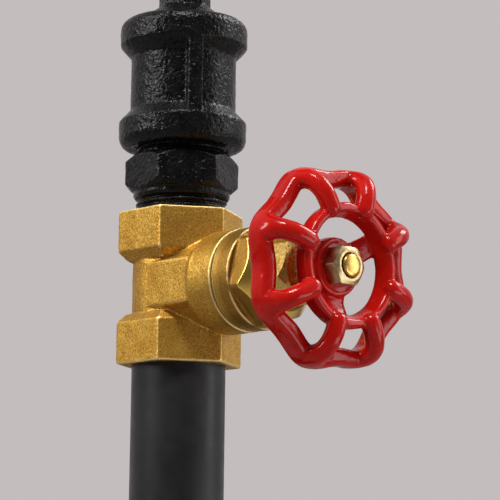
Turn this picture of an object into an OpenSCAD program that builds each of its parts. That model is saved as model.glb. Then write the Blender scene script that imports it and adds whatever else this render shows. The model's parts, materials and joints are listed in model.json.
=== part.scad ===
// Pipe pendant light: ceiling plate, hanging rod, cast iron fittings, brass gate valve with a
// turning handwheel, drop pipe, bell reducer with lamp holder, and bulb.
// Millimetres, +Z up. The origin is the centre of the canopy on the ceiling plane.
// The valve stem points along -Y.

/* [Ceiling plate] */
// Outside diameter of the canopy
canopy_d = 120; // [114:1:150]
// Height of the canopy
canopy_h = 30; // [28:1:45]
// Sheet thickness of the canopy
canopy_wall = 1.2; // [0.8:0.1:2]
// Outside radius of the canopy's rolled edge
canopy_edge_r = 8; // [4:0.5:9]
// Length of the bracket strap
bracket_len = 104; // [98:1:106]
// Width of the bracket strap
bracket_w = 20; // [16:1:24]
// Thickness of the bracket strap
bracket_t = 1.6; // [1.2:0.1:2.5]
// Distance between the middles of the two ceiling slots
slot_spacing = 60; // [56:1:64]
// Overall length of a ceiling slot
slot_len = 14; // [8:0.5:16]
// Width of a ceiling slot
slot_w = 4.5; // [4:0.1:5.5]
// Distance between the two canopy screws
canopy_screw_spacing = 88; // [84:1:90]
// Thread diameter of the canopy screws
canopy_screw_d = 4; // [3:0.5:5]
// Diameter of the domed heads of the canopy screws
canopy_screw_head_d = 9; // [8:0.5:11]
// Length of the terminal block along its row of terminals
block_len = 34; // [31:1:37]
// Depth of the terminal block
block_w = 16; // [14:0.5:20]
// Height of the base of the terminal block
block_base_h = 6; // [4:0.5:8]

/* [Hanging rod] */
// Outside diameter of the threaded rod
rod_d = 10; // [9.5:0.5:11]
// Bore of the threaded rod
rod_bore = 7; // [6.8:0.1:7.6]
// Bare length of the rod between its collar and the plug
rod_exposed = 110; // [40:1:400]
// Depth to which the rod is screwed into the plug
rod_depth = 10; // [6:0.5:12]
// Diameter of the collar under the canopy
collar_d = 22; // [18:0.5:30]
// Height of the collar under the canopy
collar_h = 12; // [8:0.5:20]
// Width across flats of the lock nut inside the canopy
rod_nut_af = 17; // [15:0.5:19]
// Height of the lock nut inside the canopy
rod_nut_h = 5; // [4:0.5:7]
// Diameter of the washer under the lock nut
washer_d = 22; // [20:0.5:26]
// Thickness of the washer under the lock nut
washer_t = 1.2; // [0.8:0.1:2]

/* [Reducing plug] */
// Width across the corners of the eight-sided head
plug_corner_d = 15.2; // [14:0.1:18]
// Height of the eight-sided head above its shoulder
plug_head_h = 14; // [8:0.5:20]
// Diameter of the conical shoulder where it leaves the coupling
plug_shoulder_d = 20.4; // [19:0.1:24]
// Height of the conical shoulder
plug_shoulder_h = 2.6; // [1.5:0.1:4]

/* [Pipe threads] */
// Diameter of the pipe threads
thread_d = 26.4; // [25.6:0.1:26.6]
// Depth to which pipes and fittings are screwed together
thread_depth = 10; // [8:0.5:12]
// Gap between a male and a female thread, on the radius
thread_gap = 0.05; // [0.02:0.01:0.1]

/* [Coupling] */
// Length of the coupling
coupling_len = 38.2; // [36:0.2:46]
// Diameter of the coupling between its bands
coupling_d = 30.5; // [29.5:0.1:32.5]
// Diameter of the two bands
coupling_band_d = 36.9; // [35.5:0.1:40]
// Height of the straight face of a band
coupling_band_h = 4.6; // [3:0.1:7]
// Height of the slope between a band and the body
coupling_slope_h = 3.4; // [2:0.1:4.5]
// Radius of the rounded end of a band
coupling_end_r = 3.2; // [1.5:0.1:4]
// Width of the two grip ribs
rib_w = 4.2; // [3:0.1:6]
// Bearing of the ribs around the coupling, from +X
rib_angle = 240; // [0:1:360]

/* [Hex nipple] */
// Width across flats of the nipple's hexagon
nipple_af = 28.8; // [28:0.1:32]
// Height of the hexagon's corners between the chamfers
nipple_hex_h = 6.3; // [5:0.1:10]
// Height of the chamfer above the hexagon
nipple_top_h = 3; // [2:0.1:4]
// Diameter at the top of the upper chamfer
nipple_top_d = 28.6; // [27.6:0.1:30]
// Height of the chamfer below the hexagon
nipple_under_h = 4.2; // [3:0.1:6]
// Bare thread between the coupling and the nipple
nipple_bare_top = 1.2; // [0.5:0.1:3]
// Bare thread between the nipple and the valve
nipple_bare_bottom = 4.1; // [2:0.1:8]
// Turn of the nipple's hexagon against the valve's
nipple_turn = -5; // [-30:1:30]
// Bore of the nipple
nipple_bore = 19; // [16:0.5:21]

/* [Valve body] */
// Length of the valve from end to end
valve_len = 44; // [42:0.5:52]
// Width across flats of the hexagonal ends
valve_af = 31.5; // [31:0.1:36]
// Length of the straight sides of a hexagonal end
valve_end_len = 11.9; // [9:0.1:13]
// Height of the sloping shoulder inside a hexagonal end
valve_shoulder_h = 3.3; // [2:0.1:4]
// Diameter of the waist between the ends
waist_d = 27.3; // [26.5:0.1:29]
// Bulge of the waist in the middle of its height
waist_bulge = 0.35; // [0.1:0.05:0.8]
// Bore through the valve
valve_bore = 18; // [16:0.5:19]
// Diameter of the neck where it leaves the body
neck_root_d = 26; // [25:0.1:28]
// Width across the flat cheeks of the body
cheek_w = 27.1; // [26.4:0.1:28]
// Diameter of the neck at its mouth
neck_d = 29.2; // [28.6:0.1:32]
// Distance from the flow axis to the flare of the neck
neck_flare_at = 17; // [15:0.1:19]
// Length of the flare of the neck
neck_flare_len = 2.6; // [1:0.1:4]
// Distance from the flow axis to the mouth of the neck
neck_reach = 29; // [27:0.1:30]
// Diameter of the thread in the neck
neck_thread_d = 20; // [19:0.5:21]

/* [Bonnet and stem] */
// Thickness of the gasket between body and bonnet
gasket_t = 0.5; // [0.3:0.1:1]
// Diameter of the round flange of the bonnet
bonnet_d = 28.9; // [28:0.1:32]
// Length of the round flange of the bonnet
bonnet_flange_len = 6.7; // [5:0.1:7]
// Width across flats of the bonnet's hexagon
bonnet_af = 25; // [24:0.1:27]
// Turn of the bonnet's hexagon
bonnet_turn = 16; // [-30:1:30]
// Length of the bonnet's hexagon at its corners
bonnet_hex_len = 3.4; // [2.5:0.1:4]
// Length of the turned cone in front of the hexagon
bonnet_cone_len = 4.8; // [4:0.1:6]
// Diameter of the turned cone at its front
bonnet_cone_d = 20.5; // [19:0.1:22]
// Length of the bonnet's thread in the neck
bonnet_thread_len = 7; // [5:0.1:9]
// Diameter of the threaded boss under the packing nut
boss_d = 14.4; // [13.5:0.1:15]
// Diameter of the packing ring
packing_d = 11.4; // [10.6:0.1:12]
// Height of the packing ring
packing_h = 4; // [2.5:0.1:5]
// Width across flats of the packing nut
packing_nut_af = 17.5; // [17:0.1:19]
// Length of the packing nut
packing_nut_len = 8.5; // [7:0.1:9.5]
// Turn of the packing nut's hexagon
packing_nut_turn = 13; // [-30:1:30]
// Diameter of the stem where it turns in the bonnet
stem_d = 8.4; // [8:0.1:9]
// Diameter of the stem's collar
stem_collar_d = 14; // [12:0.1:14.4]
// Length of the stem's collar
stem_collar_len = 3; // [2:0.1:4]
// Radial gap of the turning stem
stem_gap = 0.05; // [0.02:0.01:0.1]
// End float of the stem's collar
stem_float = 0.3; // [0.2:0.05:0.6]

/* [Handwheel] */
// Distance from the flow axis to the middle plane of the rim
wheel_at = 61.4; // [60.5:0.1:66]
// Radius of the middle of the rim
rim_r = 24.1; // [22.5:0.1:26]
// Swing of the rim out at the lobes and in between them
rim_wave = 1.6; // [0:0.05:2]
// Thickness of the rim along the axis
rim_axial = 6.6; // [4:0.1:7]
// Thickness of the rim across the axis
rim_radial = 5.4; // [4:0.1:6.5]
// Radius of the middle of the inner ring
ring_r = 15.4; // [14:0.1:16]
// Thickness of the inner ring across the axis
ring_radial = 3.2; // [2.4:0.1:4]
// Thickness of the inner ring along the axis
ring_axial = 5; // [4:0.1:6]
// Distance of the inner ring in front of the rim
ring_forward = 5.8; // [5:0.1:9]
// Width of the eight bars
bar_w = 4.3; // [3.4:0.1:5.2]
// Thickness of the eight bars
bar_t = 4.2; // [3:0.1:5]
// Turn of the bars round the stem
bar_turn = 7; // [0:1:44]
// Diameter of the hub
hub_d = 17; // [16:0.1:19]
// Diameter of the recess that holds the nut
hub_recess_d = 14.2; // [13:0.1:15]
// Depth of the recess that holds the nut
hub_recess = 1.8; // [1:0.1:3]
// Length of the hub
hub_len = 8; // [6:0.1:9]
// Width of the three spokes
spoke_w = 7; // [5:0.1:9]
// Thickness of the three spokes
spoke_t = 3.2; // [2.4:0.1:4]
// Bearing of the first spoke from +X
spoke_angle = 15; // [0:1:120]
// Width of the square end of the stem in the hub
stem_square = 5.6; // [5.2:0.1:5.6]
// Thread diameter at the end of the stem
stem_end_d = 5.6; // [5:0.1:5.8]
// Width across flats of the wheel nut
wheel_nut_af = 10; // [9:0.1:11]
// Height of the wheel nut
wheel_nut_h = 5; // [4:0.1:6]
// Length of the stem in front of the wheel nut
stem_proud = 0.5; // [0.2:0.1:2]

/* [Drop pipe] */
// Outside diameter of the drop pipe
pipe_d = 26.8; // [26.7:0.1:27.6]
// Bore of the drop pipe
pipe_bore = 21.6; // [20.4:0.1:22.8]
// Bare length of the pipe between valve and bell
pipe_exposed = 100; // [45:1:400]

/* [Bell reducer] */
// Length of the bell
bell_len = 50; // [46:1:64]
// Diameter of the band round the pipe
bell_band_d = 35.6; // [34:0.1:40]
// Height of the band round the pipe
bell_band_h = 7; // [5:0.1:9]
// Diameter of the neck under that band
bell_neck_d = 31.6; // [30.6:0.1:33]
// Diameter of the body of the bell
bell_d = 47; // [46:0.1:49]
// Diameter of the band at the mouth of the bell
bell_mouth_d = 51; // [50:0.1:56]
// Height of the band at the mouth of the bell
bell_mouth_h = 8; // [6.5:0.1:11]
// Distance from the top of the bell to the roof over the lamp holder
bell_roof = 20; // [19:0.5:24]
// Radius of the rounded edges of the bands
bell_edge_r = 2.5; // [1:0.1:3]

/* [Lamp holder] */
// Outside diameter of the lamp holder
holder_d = 40; // [38:0.1:41]
// Height of the lamp holder
holder_h = 46; // [44:0.5:56]
// Diameter of the bead at the mouth of the lamp holder
holder_bead_d = 44; // [42:0.1:48]
// Height of the bead at the mouth of the lamp holder
holder_bead_h = 7; // [4:0.1:10]
// Depth of the terminal chamber in the top of the lamp holder
chamber_h = 7; // [6:0.1:9]
// Diameter of the terminal chamber
chamber_d = 32; // [31:0.1:34]
// Thickness of the floor between chamber and lamp cavity
holder_floor = 6; // [4:0.1:8]
// Sheet thickness of the screw shell
shell_t = 0.6; // [0.4:0.05:1]
// Length of the screw shell
shell_len = 25; // [20:0.5:28]
// Thread diameter of the set screws
set_screw_d = 4; // [3:0.5:5]

/* [Bulb] */
// Thread diameter of the bulb's cap
cap_d = 26.6; // [26:0.1:27]
// Length of the threaded part of the cap
cap_len = 20; // [18:0.5:22]
// Largest diameter of the glass
bulb_d = 64; // [56:1:80]
// Length of the glass below the cap
bulb_len = 112; // [104:1:150]
// Thickness of the glass
glass_t = 1; // [0.7:0.1:1.5]
// Number of upright runs of the filament
filament_runs = 10; // [6:2:16]
// Distance from the cap to the top of the filament
filament_drop = 26; // [24:1:30]
// Height of the filament
filament_h = 46; // [30:1:50]
// Radius of the filament's cage
filament_r = 9; // [7:0.5:14]
// Diameter of the filament
filament_d = 0.8; // [0.6:0.1:1.2]

/* [Wiring] */
// Outside diameter of one insulated wire
wire_d = 2.2; // [1.8:0.1:2.4]

/* [Hidden] */
$fn = 64;

// Extra length of a cutting tool past the face that it opens
cut = 1;
// Gap of a screw or rod in its clearance hole, on the radius
hole_gap = 0.2;
// Gap of two pieces that slide together by hand, on the radius
slide_gap = 0.1;

// Heights of the pieces, from the ceiling down
canopy_inside = -canopy_h + canopy_wall;
canopy_outside = -canopy_h;
rod_nut_bottom = canopy_inside + washer_t;
rod_proud = 2;
rod_top = rod_nut_bottom + rod_nut_h + rod_proud;
bush_t = 1.2;
bush_top = rod_top + bush_t;
collar_bottom = canopy_outside - collar_h;
plug_top = collar_bottom - rod_exposed;
plug_head_bottom = plug_top - plug_head_h;
coupling_top = plug_head_bottom - plug_shoulder_h;
coupling_bottom = coupling_top - coupling_len;
nipple_cone_top = coupling_bottom - nipple_bare_top;
nipple_hex_top = nipple_cone_top - nipple_top_h;
nipple_hex_bottom = nipple_hex_top - nipple_hex_h;
nipple_cone_bottom = nipple_hex_bottom - nipple_under_h;
valve_top = nipple_cone_bottom - nipple_bare_bottom;
valve_z = valve_top - valve_len / 2;
valve_bottom = valve_top - valve_len;
bell_top = valve_bottom - pipe_exposed;
bell_bottom = bell_top - bell_len;
holder_top = bell_top - bell_roof;
holder_bottom = holder_top - holder_h;
chamber_bottom = holder_top - chamber_h;
holder_ceiling = chamber_bottom - holder_floor;

// Thread radii of female and male pipe ends, and the run-out below a female thread
female_r = thread_d / 2;
male_r = female_r - thread_gap;
run_out = 0.5;

// Distances along the stem, from the flow axis outwards
bonnet_at = neck_reach + gasket_t;
bonnet_hex_at = bonnet_at + bonnet_flange_len;
bonnet_cone_at = bonnet_hex_at + bonnet_hex_len;
bonnet_front = bonnet_cone_at + bonnet_cone_len;
packing_nut_front = bonnet_front + packing_nut_len;
packing_nut_wall = 2;
boss_front = packing_nut_front - packing_nut_wall - 0.2;
packing_back = boss_front - packing_h;
collar_seat = bonnet_at + 1.5;
collar_front = collar_seat - stem_float;
collar_back = collar_front - stem_collar_len;
stem_inner = valve_bore / 2 + 4;
stem_screw_d = stem_d - 0.6;
hub_front = wheel_at + ring_forward - ring_axial / 2 + 1;
hub_seat = hub_front - hub_recess;
hub_back = hub_front - hub_len;
stem_end = hub_seat + wheel_nut_h + stem_proud;

// Lamp holder and bulb
shell_r = cap_d / 2 + slide_gap + shell_t;
cavity_r = shell_r + slide_gap;
leaf_t = 0.8;
leaf_w = 5;
leaf_drop = 3;
post_d = 4;
post_h = 3.5;
post_at = 8;
earth_at = 12.8;
earth_head_d = 4.4;
earth_head_h = 2.2;
cap_cone_h = 3.2;
cap_wall = 0.5;
insulator_d = 15;
insulator_h = 1.2;
tip_d = 9;
tip_h = 1.4;
cap_top = holder_ceiling - leaf_drop - tip_h - insulator_h;
cap_shoulder = cap_top - cap_cone_h;
cap_bottom = cap_shoulder - cap_len;
glass_in_cap = 8;
glass_neck_r = cap_d / 2 - cap_wall - slide_gap;
mount_top = cap_bottom + glass_in_cap;
filament_top = cap_bottom - filament_drop;
filament_bottom = filament_top - filament_h;
bell_passage_d = 21;
set_screw_z = bell_bottom + bell_mouth_h / 2;

// Terminal block
block_ear = 5;
block_pitch = (block_len - 2 * block_ear) / 3;
block_hump_r = 0.35 * block_pitch;
block_y = bracket_w / 2 + block_w / 2;
block_front_y = block_y - block_w / 2;
block_entry_z = -bracket_t - block_base_h;
block_screw_d = 2.5;
block_screw_head_d = 4.2;
block_screw_head_h = 1.8;

// Shared shapes

// Hexagonal prism with a corner towards +Y
module hex_prism(af, h) {
    rotate(30)
        cylinder(r = af / sqrt(3), h = h, $fn = 6);
}

// Turned piece from a half outline of [radius, height] points
module turned(outline) {
    rotate_extrude()
        polygon(outline);
}

// Half outline of a disc with its lower outer edge rounded
module rounded_half(r, bottom, top, edge_r) {
    translate([0, bottom])
        square([r - edge_r, top - bottom]);
    translate([0, bottom + edge_r])
        square([r, top - bottom - edge_r]);
    intersection() {
        translate([r - edge_r, bottom + edge_r])
            circle(edge_r);
        translate([r - edge_r, bottom])
            square(edge_r);
    }
}

// Hexagon nut with both ends chamfered, along +Z from the origin
module hex_nut(af, h, bore_d) {
    corner_r = af / sqrt(3);
    chamfer = (corner_r - af / 2) * 0.6;
    difference() {
        intersection() {
            hex_prism(af, h);
            turned([
                [0, 0], [af / 2, 0], [corner_r, chamfer],
                [corner_r, h - chamfer], [af / 2, h], [0, h]
            ]);
        }
        translate([0, 0, -cut])
            cylinder(d = bore_d, h = h + 2 * cut);
    }
}

// Children placed with +Z along the stem and +Y up
module along_stem(distance = 0) {
    translate([0, 0, valve_z])
        rotate([90, 0, 0])
            translate([0, 0, distance])
                children();
}

// Children at both ends of a spacing along X
module pair(spacing) {
    for (side = [-1, 1])
        translate([side * spacing / 2, 0, 0])
            children();
}

function unit(v) = v / norm(v);

// Direction of a path at one of its points
function heading(path, i) =
    unit(path[min(i + 1, len(path) - 1)] - path[max(i - 1, 0)]);

// Closed tube of n sides along a path, with a side vector for each point
module tube(path, d, sides, n = 8) {
    last = len(path) - 1;
    points = [
        for (i = [0 : last])
            let (
                along = heading(path, i),
                across = unit(sides[i] - (sides[i] * along) * along),
                other = cross(along, across)
            )
            for (k = [0 : n - 1])
                path[i] + d / 2 * (cos(360 * k / n) * across + sin(360 * k / n) * other)
    ];
    walls = [
        for (i = [0 : last - 1])
            for (k = [0 : n - 1])
                let (
                    a = i * n + k,
                    b = i * n + (k + 1) % n
                )
                for (face = [[a, a + n, b + n], [a, b + n, b]])
                    face
    ];
    start = [for (k = [0 : n - 1]) k];
    finish = [for (k = [n - 1 : -1 : 0]) last * n + k];
    polyhedron(points = points, faces = concat(walls, [start, finish]), convexity = 6);
}

// Ceiling plate

// Ceiling slot with round ends, along X
module slot_outline() {
    square([slot_len - slot_w, slot_w], center = true);
    pair(slot_len - slot_w)
        circle(d = slot_w);
}

module ceiling_bracket() {
    tab_len = block_len + 2;
    color("dimgray")
        translate([0, 0, -bracket_t])
            linear_extrude(bracket_t)
                difference() {
                    union() {
                        square([bracket_len, bracket_w], center = true);
                        translate([-tab_len / 2, 0])
                            square([tab_len, bracket_w / 2 + block_w]);
                    }
                    pair(slot_spacing)
                        slot_outline();
                    pair(canopy_screw_spacing)
                        circle(d = canopy_screw_d + 2 * thread_gap);
                    circle(d = rod_d);
                    translate([0, block_y])
                        pair(block_len - block_ear)
                            circle(d = block_screw_d + 2 * thread_gap);
                }
}

module canopy() {
    color([0.06, 0.06, 0.065])
        difference() {
            rotate_extrude()
                rounded_half(canopy_d / 2, canopy_outside, 0, canopy_edge_r);
            rotate_extrude()
                rounded_half(
                    canopy_d / 2 - canopy_wall, canopy_inside, cut, canopy_edge_r - canopy_wall
                );
            translate([0, 0, canopy_outside - cut])
                cylinder(d = rod_d + 2 * hole_gap, h = canopy_wall + 2 * cut);
            translate([0, 0, canopy_outside - cut])
                pair(canopy_screw_spacing)
                    cylinder(d = canopy_screw_d + 2 * hole_gap, h = canopy_wall + 2 * cut);
        }
}

module canopy_screws() {
    head_r = canopy_screw_head_d / 2;
    tip_below_ceiling = 0.2;
    color("goldenrod")
        translate([0, 0, canopy_outside])
            pair(canopy_screw_spacing) {
                translate([0, 0, -head_r / 2])
                    cylinder(d = canopy_screw_d, h = canopy_h + head_r / 2 - tip_below_ceiling);
                intersection() {
                    sphere(head_r);
                    translate([0, 0, -head_r])
                        cylinder(r = head_r + cut, h = head_r);
                }
            }
}

module terminal_block() {
    color("ivory")
        difference() {
            union() {
                translate([-block_len / 2, block_front_y, block_entry_z])
                    cube([block_len, block_w, block_base_h]);
                for (way = [-1 : 1])
                    translate([way * block_pitch, block_front_y, block_entry_z])
                        rotate([-90, 0, 0])
                            cylinder(r = block_hump_r, h = block_w);
            }
            for (way = [-1 : 1])
                translate([way * block_pitch, block_front_y - cut, block_entry_z])
                    rotate([-90, 0, 0])
                        cylinder(d = wire_d + 2 * hole_gap, h = block_w + 2 * cut);
            translate([0, block_y, block_entry_z - cut])
                pair(block_len - block_ear)
                    cylinder(d = block_screw_d + 2 * hole_gap, h = block_base_h + 2 * cut);
        }
}

module terminal_block_screws() {
    color("silver")
        translate([0, block_y, block_entry_z])
            pair(block_len - block_ear) {
                cylinder(d = block_screw_d, h = block_base_h + bracket_t);
                translate([0, 0, -block_screw_head_h])
                    cylinder(d = block_screw_head_d, h = block_screw_head_h);
            }
}

// Hanging rod

module rod_lock_nut() {
    color("silver")
        translate([0, 0, rod_nut_bottom])
            hex_nut(rod_nut_af, rod_nut_h, rod_d + 2 * thread_gap);
}

module rod_washer() {
    color("silver")
        translate([0, 0, canopy_inside])
            difference() {
                cylinder(d = washer_d, h = washer_t);
                translate([0, 0, -cut])
                    cylinder(d = rod_d + 2 * hole_gap, h = washer_t + 2 * cut);
            }
}

module rod_bush() {
    spigot_h = 5;
    color("white")
        difference() {
            union() {
                translate([0, 0, rod_top])
                    cylinder(d = rod_d, h = bush_t);
                translate([0, 0, rod_top - spigot_h])
                    cylinder(d = rod_bore - 2 * slide_gap, h = spigot_h + bush_t / 2);
            }
            translate([0, 0, rod_top - spigot_h - cut])
                cylinder(r = wire_ring_r + wire_d / 2 + slide_gap, h = spigot_h + bush_t + 2 * cut);
        }
}

module rod_collar() {
    edge_r = collar_h * 0.4;
    color([0.06, 0.06, 0.065])
        difference() {
            rotate_extrude()
                rounded_half(collar_d / 2, collar_bottom, canopy_outside, edge_r);
            translate([0, 0, collar_bottom - cut])
                cylinder(d = rod_d + 2 * thread_gap, h = collar_h + 2 * cut);
        }
}

module hang_rod() {
    rod_bottom = plug_top - rod_depth;
    color([0.08, 0.08, 0.085])
        translate([0, 0, rod_bottom])
            difference() {
                cylinder(d = rod_d, h = rod_top - rod_bottom);
                translate([0, 0, -cut])
                    cylinder(d = rod_bore, h = rod_top - rod_bottom + 2 * cut);
            }
}

// Cast iron fittings

module reducing_plug() {
    corner_r = plug_corner_d / 2;
    bottom = coupling_top - thread_depth;
    chamfer = 1;
    color([0.05, 0.05, 0.055])
        difference() {
            union() {
                intersection() {
                    translate([0, 0, coupling_top])
                        cylinder(r = corner_r, h = plug_top - coupling_top, $fn = 8);
                    turned([
                        [0, coupling_top], [corner_r + cut, coupling_top],
                        [corner_r + cut, plug_top - chamfer - cut],
                        [corner_r - chamfer, plug_top], [0, plug_top]
                    ]);
                }
                turned([
                    [0, bottom], [male_r, bottom], [male_r, coupling_top],
                    [plug_shoulder_d / 2, coupling_top], [corner_r, plug_head_bottom],
                    [0, plug_head_bottom]
                ]);
            }
            translate([0, 0, bottom - cut])
                cylinder(d = rod_bore, h = plug_top - bottom + 2 * cut);
            translate([0, 0, plug_top - rod_depth])
                cylinder(d = rod_d + 2 * thread_gap, h = rod_depth + cut);
        }
}

// Half outline of the lower half of the coupling
module coupling_half() {
    band_r = coupling_band_d / 2;
    body_r = coupling_d / 2;
    band_top = coupling_end_r + coupling_band_h;
    slope_top = band_top + coupling_slope_h;
    rounded_half(band_r, 0, band_top, coupling_end_r);
    polygon([[0, band_top], [band_r, band_top], [body_r, slope_top], [0, slope_top]]);
    square([body_r, coupling_len / 2]);
}

module coupling() {
    band_r = coupling_band_d / 2;
    rib_sink = 0.3;
    color([0.05, 0.05, 0.055])
        translate([0, 0, coupling_bottom])
            difference() {
                union() {
                    rotate_extrude()
                        coupling_half();
                    translate([0, 0, coupling_len])
                        mirror([0, 0, 1])
                            rotate_extrude()
                                coupling_half();
                    intersection() {
                        translate([0, 0, coupling_end_r])
                            cylinder(r = band_r - rib_sink, h = coupling_len - 2 * coupling_end_r);
                        rotate(rib_angle)
                            translate([-band_r - cut, -rib_w / 2, 0])
                                cube([2 * (band_r + cut), rib_w, coupling_len]);
                    }
                }
                translate([0, 0, -cut])
                    cylinder(r = female_r, h = coupling_len + 2 * cut);
            }
}

module hex_nipple() {
    corner_r = nipple_af / sqrt(3);
    bottom = valve_top - thread_depth;
    top = coupling_bottom + thread_depth;
    color([0.05, 0.05, 0.055])
        difference() {
            union() {
                translate([0, 0, bottom])
                    cylinder(r = male_r, h = top - bottom);
                intersection() {
                    translate([0, 0, nipple_cone_bottom])
                        rotate(nipple_turn)
                            hex_prism(nipple_af, nipple_cone_top - nipple_cone_bottom);
                    turned([
                        [0, nipple_cone_bottom], [male_r + 0.4, nipple_cone_bottom],
                        [corner_r, nipple_hex_bottom], [corner_r, nipple_hex_top],
                        [nipple_top_d / 2, nipple_cone_top], [0, nipple_cone_top]
                    ]);
                }
            }
            translate([0, 0, bottom - cut])
                cylinder(d = nipple_bore, h = top - bottom + 2 * cut);
        }
}

// Brass valve

// Hexagonal upper end of the valve with its sloping shoulder, flats facing +X
module valve_end() {
    half_af = valve_af / 2;
    end_z = valve_len / 2;
    hex_z = end_z - valve_end_len;
    shoulder_z = hex_z - valve_shoulder_h;
    waist_r = waist_d / 2 - waist_bulge;
    span = valve_af * 1.2;
    intersection_for (turn = [0, 60, 120])
        rotate(turn)
            rotate([90, 0, 0])
                translate([0, 0, -span / 2])
                    linear_extrude(span)
                        polygon([
                            [-half_af, end_z], [-half_af, hex_z], [-waist_r, shoulder_z],
                            [waist_r, shoulder_z], [half_af, hex_z], [half_af, end_z]
                        ]);
}

// Round waist that bulges by waist_bulge in the middle
module valve_waist() {
    half_h = valve_len / 2 - valve_end_len;
    arc_r = (half_h * half_h + waist_bulge * waist_bulge) / (2 * waist_bulge);
    rotate_extrude()
        intersection() {
            translate([waist_d / 2 - arc_r, 0])
                circle(arc_r, $fn = 256);
            translate([0, -half_h])
                square([waist_d, 2 * half_h]);
        }
}

// Flat cheeks between waist and neck, with sloping edges that run into the neck
module valve_cheeks() {
    flat_z = 4.5;
    edge_z = valve_len / 2 - valve_end_len - valve_shoulder_h;
    edge_x = sqrt(neck_root_d * neck_root_d / 4 - edge_z * edge_z);
    half_w = cheek_w / 2;
    along_stem()
        linear_extrude(neck_flare_at + neck_flare_len / 2)
            polygon([
                [half_w, flat_z], [edge_x, edge_z], [-edge_x, edge_z], [-half_w, flat_z],
                [-half_w, -flat_z], [-edge_x, -edge_z], [edge_x, -edge_z], [half_w, -flat_z]
            ]);
}

module valve_body() {
    flare_end = neck_flare_at + neck_flare_len;
    cavity_back = 3;
    color("goldenrod")
        difference() {
            union() {
                translate([0, 0, valve_z]) {
                    valve_end();
                    mirror([0, 0, 1])
                        valve_end();
                    valve_waist();
                }
                valve_cheeks();
                along_stem()
                    turned([
                        [0, 0], [neck_root_d / 2, 0], [neck_root_d / 2, neck_flare_at],
                        [neck_d / 2, flare_end], [neck_d / 2, neck_reach], [0, neck_reach]
                    ]);
            }
            translate([0, 0, valve_bottom - cut])
                cylinder(d = valve_bore, h = valve_len + 2 * cut);
            translate([0, 0, valve_top - thread_depth - run_out])
                cylinder(r = female_r, h = thread_depth + run_out + cut);
            translate([0, 0, valve_bottom - cut])
                cylinder(r = female_r, h = thread_depth + run_out + cut);
            along_stem(-cavity_back)
                cylinder(d = neck_thread_d, h = neck_reach + cavity_back + cut);
        }
}

module bonnet_gasket() {
    inset = 0.4;
    color("dimgray")
        along_stem(neck_reach)
            difference() {
                cylinder(d = bonnet_d - 2 * inset, h = gasket_t);
                translate([0, 0, -cut])
                    cylinder(d = neck_thread_d, h = gasket_t + 2 * cut);
            }
}

module valve_bonnet() {
    corner_r = min(bonnet_af / sqrt(3), bonnet_d / 2) - 0.3;
    inner_end = bonnet_at - bonnet_thread_len;
    thread_r = neck_thread_d / 2 - thread_gap;
    color("darkgoldenrod")
        along_stem()
            difference() {
                union() {
                    turned([
                        [0, inner_end], [thread_r, inner_end], [thread_r, bonnet_at],
                        [bonnet_d / 2, bonnet_at], [bonnet_d / 2, bonnet_hex_at],
                        [boss_d / 2, bonnet_hex_at], [boss_d / 2, boss_front], [0, boss_front]
                    ]);
                    intersection() {
                        translate([0, 0, bonnet_hex_at - cut])
                            rotate(30 + bonnet_turn)
                                hex_prism(bonnet_af, bonnet_front - bonnet_hex_at + cut);
                        turned([
                            [0, bonnet_hex_at - cut], [corner_r, bonnet_hex_at - cut],
                            [corner_r, bonnet_cone_at], [bonnet_cone_d / 2, bonnet_front],
                            [0, bonnet_front]
                        ]);
                    }
                }
                translate([0, 0, inner_end - cut])
                    cylinder(d = stem_d + 2 * stem_gap, h = boss_front - inner_end + 2 * cut);
                translate([0, 0, inner_end - cut])
                    cylinder(d = stem_collar_d + 2 * hole_gap, h = collar_seat - inner_end + cut);
                translate([0, 0, packing_back])
                    cylinder(d = packing_d, h = packing_h + cut);
            }
}

module packing_ring() {
    color("gray")
        along_stem(packing_back)
            difference() {
                cylinder(d = packing_d - 2 * stem_gap, h = packing_h);
                translate([0, 0, -cut])
                    cylinder(d = stem_d + 2 * stem_gap, h = packing_h + 2 * cut);
            }
}

module packing_nut() {
    corner_r = packing_nut_af / sqrt(3);
    front_r = packing_nut_af / 2 - 0.6;
    chamfer = corner_r - front_r;
    color("gold")
        along_stem(bonnet_front)
            difference() {
                intersection() {
                    rotate(30 + packing_nut_turn)
                        hex_prism(packing_nut_af, packing_nut_len);
                    turned([
                        [0, 0], [corner_r, 0], [corner_r, packing_nut_len - chamfer],
                        [front_r, packing_nut_len], [0, packing_nut_len]
                    ]);
                }
                translate([0, 0, -cut])
                    cylinder(
                        d = boss_d + 2 * thread_gap, h = packing_nut_len - packing_nut_wall + cut
                    );
                translate([0, 0, -cut])
                    cylinder(d = stem_d + 2 * stem_gap, h = packing_nut_len + 2 * cut);
            }
}

module valve_stem() {
    square_back = hub_back - cut;
    color("gold")
        along_stem() {
            turned([
                [0, stem_inner], [stem_screw_d / 2, stem_inner], [stem_screw_d / 2, collar_back],
                [stem_collar_d / 2, collar_back], [stem_collar_d / 2, collar_front],
                [stem_d / 2, collar_front], [stem_d / 2, hub_back], [0, hub_back]
            ]);
            translate([-stem_square / 2, -stem_square / 2, square_back])
                cube([stem_square, stem_square, hub_seat - square_back]);
            translate([0, 0, hub_seat - cut])
                cylinder(d = stem_end_d, h = stem_end - hub_seat + cut);
        }
}

// Handwheel

// The openwork between inner ring and rim follows a quarter ellipse from the ring in front to
// the rim behind. A station is a length along that curve, with its zero at the middle of the ring.
lobes = 8;
sector = 360 / lobes;
curve_out = rim_r - ring_r;
curve_len = 90 * PI / 180 * sqrt((curve_out * curve_out + ring_forward * ring_forward) / 2);

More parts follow.
